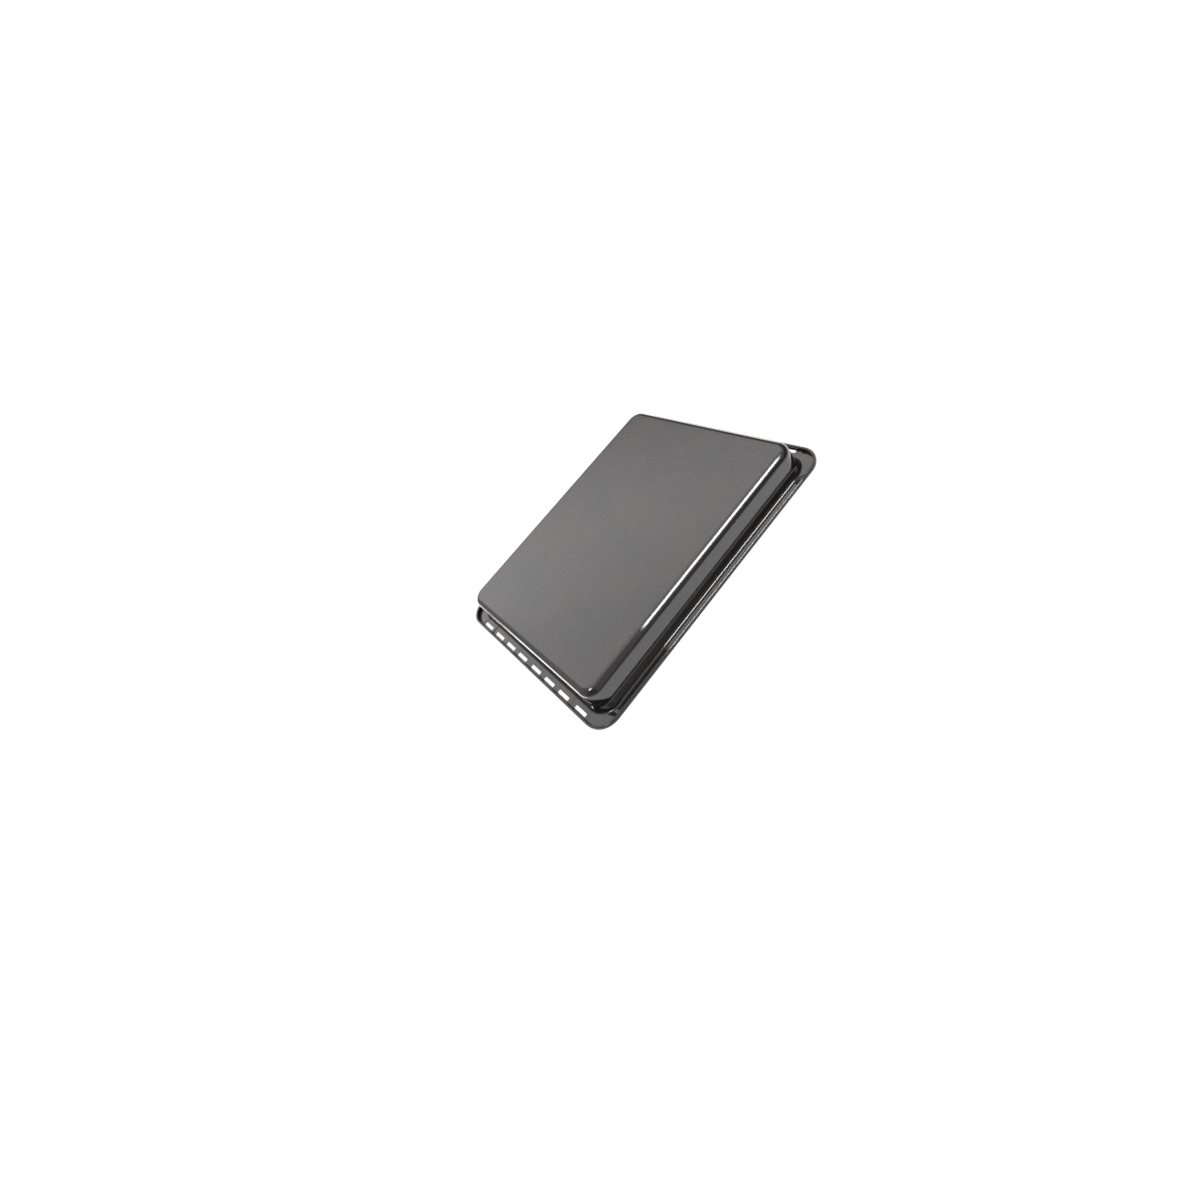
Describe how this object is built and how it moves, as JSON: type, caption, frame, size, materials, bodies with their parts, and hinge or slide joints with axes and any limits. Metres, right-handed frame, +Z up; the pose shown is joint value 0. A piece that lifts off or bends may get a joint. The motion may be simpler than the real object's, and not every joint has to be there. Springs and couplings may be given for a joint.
{
  "type": "oven drip tray",
  "caption": "Rectangular deep-drawn oven drip tray in enamelled steel, with drafted walls, a flange all round, slotted runner ends and a rolled rim over a wire.",
  "frame": {"origin": "middle of the flat of the base, on its underside, which is also the middle of the bounding box at its lowest face", "axes": "+Z up out of the open side, as the tray is used; X across the width, from one plain edge to the other; Y along the length, from one slotted end to the other"},
  "size_m": [0.385, 0.466, 0.04],
  "materials": {
    "enamel": "glossy dark grey vitreous enamel with a fine speckle, fired on pressed steel",
    "wire": "plain drawn steel wire, closed in by the rim"
  },
  "bodies": {
    "root": {"tray_pressing": "enamel", "rim_wire": "wire"}
  },
  "joints": []
}
